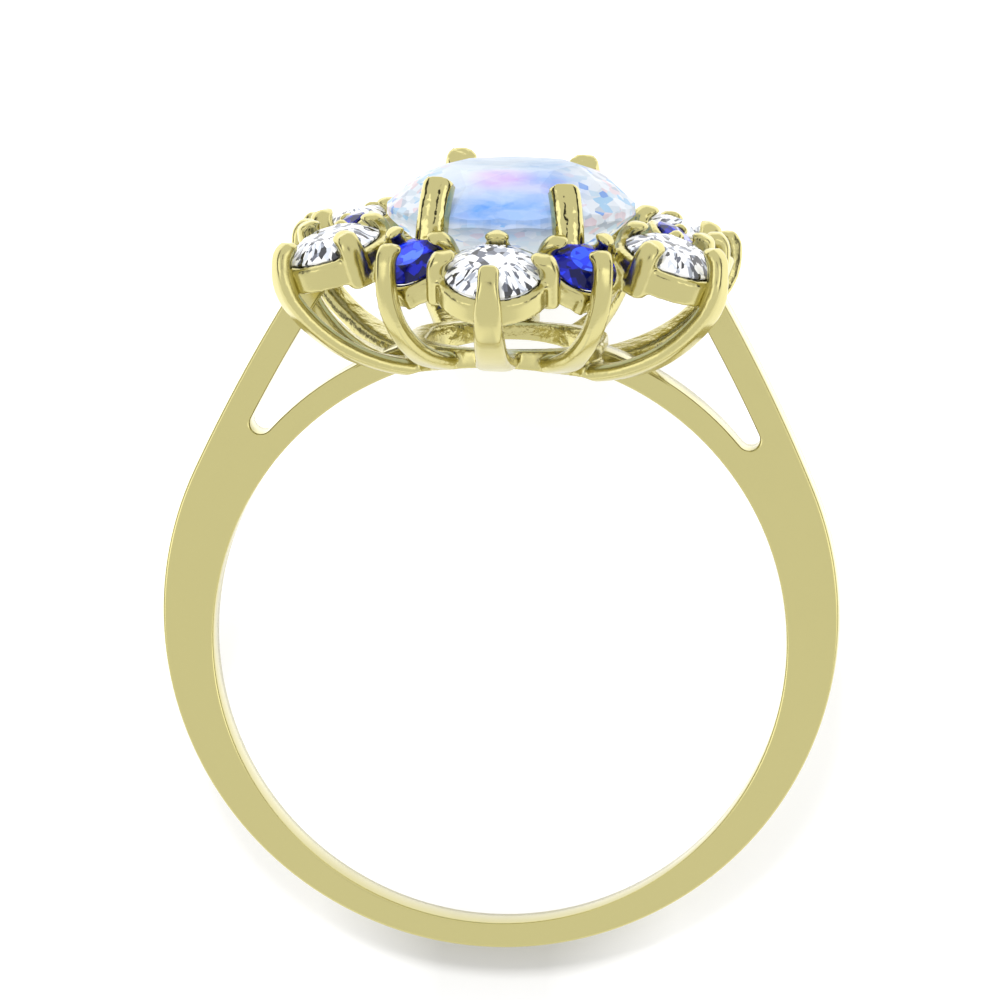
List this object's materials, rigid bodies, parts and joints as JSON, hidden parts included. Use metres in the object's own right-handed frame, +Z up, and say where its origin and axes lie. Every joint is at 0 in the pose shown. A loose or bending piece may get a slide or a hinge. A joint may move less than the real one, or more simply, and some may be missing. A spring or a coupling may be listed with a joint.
{
  "type": "moonstone cluster ring",
  "caption": "Slim yellow-gold finger ring with open shoulders and a raised basket, carrying an oval faceted moonstone in claws inside a halo of round white and blue stones.",
  "frame": {"origin": "on the floor below the middle of the ring's box", "axes": "+X across the ring, +Y from the shank towards the head, +Z up from the floor, out of the ring's near side; the finger axis leans 20.68 degrees from +Z, as the ring lies on the rear of its head and on the edge of its shank"},
  "size_m": [0.0194, 0.023, 0.0155],
  "materials": {
    "yellow_gold": "polished cast yellow gold",
    "moonstone": "faceted, milky with a blue sheen",
    "diamond": "clear brilliant cut",
    "sapphire": "deep blue brilliant cut"
  },
  "bodies": {
    "root": {"gold_mount": "yellow_gold", "moonstone": "moonstone", "diamond_1": "diamond", "diamond_2": "diamond", "diamond_3": "diamond", "diamond_4": "diamond", "diamond_5": "diamond", "diamond_6": "diamond", "sapphire_1": "sapphire", "sapphire_2": "sapphire", "sapphire_3": "sapphire", "sapphire_4": "sapphire", "sapphire_5": "sapphire", "sapphire_6": "sapphire"}
  },
  "joints": []
}
